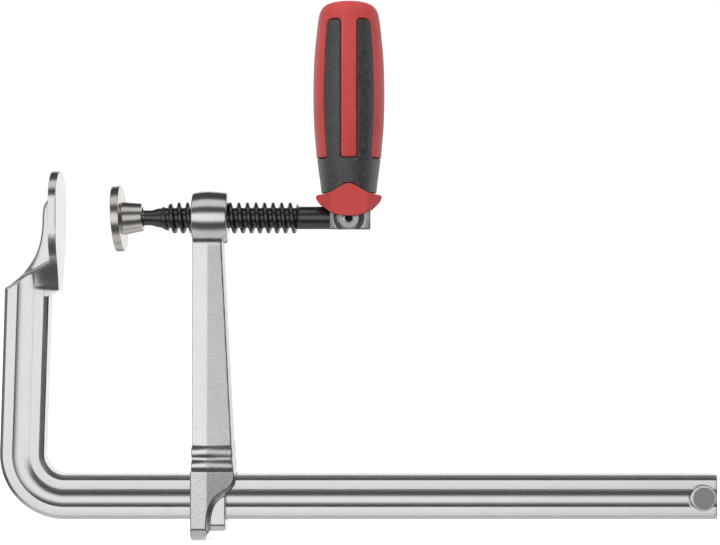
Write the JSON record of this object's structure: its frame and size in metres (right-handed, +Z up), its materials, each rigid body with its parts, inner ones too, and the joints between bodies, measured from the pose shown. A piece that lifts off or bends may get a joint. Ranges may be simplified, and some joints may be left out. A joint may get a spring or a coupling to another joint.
{
  "type": "f clamp",
  "caption": "Screw F clamp: forged rail with a fixed jaw, sliding arm on the rail, screw spindle with a swivel pressure plate, and a two-material handle that folds.",
  "frame": {"origin": "centre of the fixed jaw's clamping face, on the spindle's axis", "axes": "+X along the rail and the spindle, from the fixed jaw to the handle; +Z up, from the rail to the spindle; +Y to the back of the clamp's flat side"},
  "size_m": [0.3345, 0.0334, 0.2511],
  "materials": {
    "bright_steel": "bright zinc-plated steel with a fine lengthwise grain",
    "pin_steel": "plain ground steel",
    "black_steel": "black oxide, satin, lightly oiled",
    "plate_nickel": "bright nickel plate, warm tint",
    "tongue_steel": "dark oxide, satin",
    "red_plastic": "satin moulded red plastic",
    "soft_grip": "black soft moulding with a fine spark-eroded texture"
  },
  "bodies": {
    "frame": {"rail_and_fixed_jaw": "bright_steel", "rail_stop_pin": "pin_steel"},
    "arm": {"sliding_arm": "bright_steel"},
    "swivel_ring": {"plate_retaining_ring": "pin_steel"},
    "plate": {"pressure_plate": "plate_nickel"},
    "screw": {"spindle": "black_steel", "handle_pivot_pin": "pin_steel"},
    "handle": {"handle_tongue": "tongue_steel", "handle_core": "red_plastic", "handle_soft_grip": "soft_grip", "handle_collar": "red_plastic"}
  },
  "joints": [
    {"name": "arm_slide", "type": "slide", "parent": "frame", "child": "arm", "axis": [1, 0, 0], "range_m": [-0.0024, 0.2105]},
    {"name": "spindle_travel", "type": "slide", "parent": "arm", "child": "swivel_ring", "axis": [1, 0, 0], "range_m": [-0.02, 0.02]},
    {"name": "spindle_turn", "type": "hinge", "parent": "swivel_ring", "child": "screw", "pos_m": [0.0326, 0, 0], "axis": [1, 0, 0], "range_deg": [-1801, 1801]},
    {"name": "plate_tilt", "type": "hinge", "parent": "swivel_ring", "child": "plate", "pos_m": [0.0326, 0, 0], "axis": [0, 1, 0], "range_deg": [-4, 11]},
    {"name": "handle_tilt", "type": "hinge", "parent": "screw", "child": "handle", "pos_m": [0.135, 0, 0], "axis": [0, 1, 0], "range_deg": [0, 180]}
  ],
  "couplings": [
    {"joint": "spindle_turn", "follows": "spindle_travel", "rad_per_m": 1570.8}
  ]
}
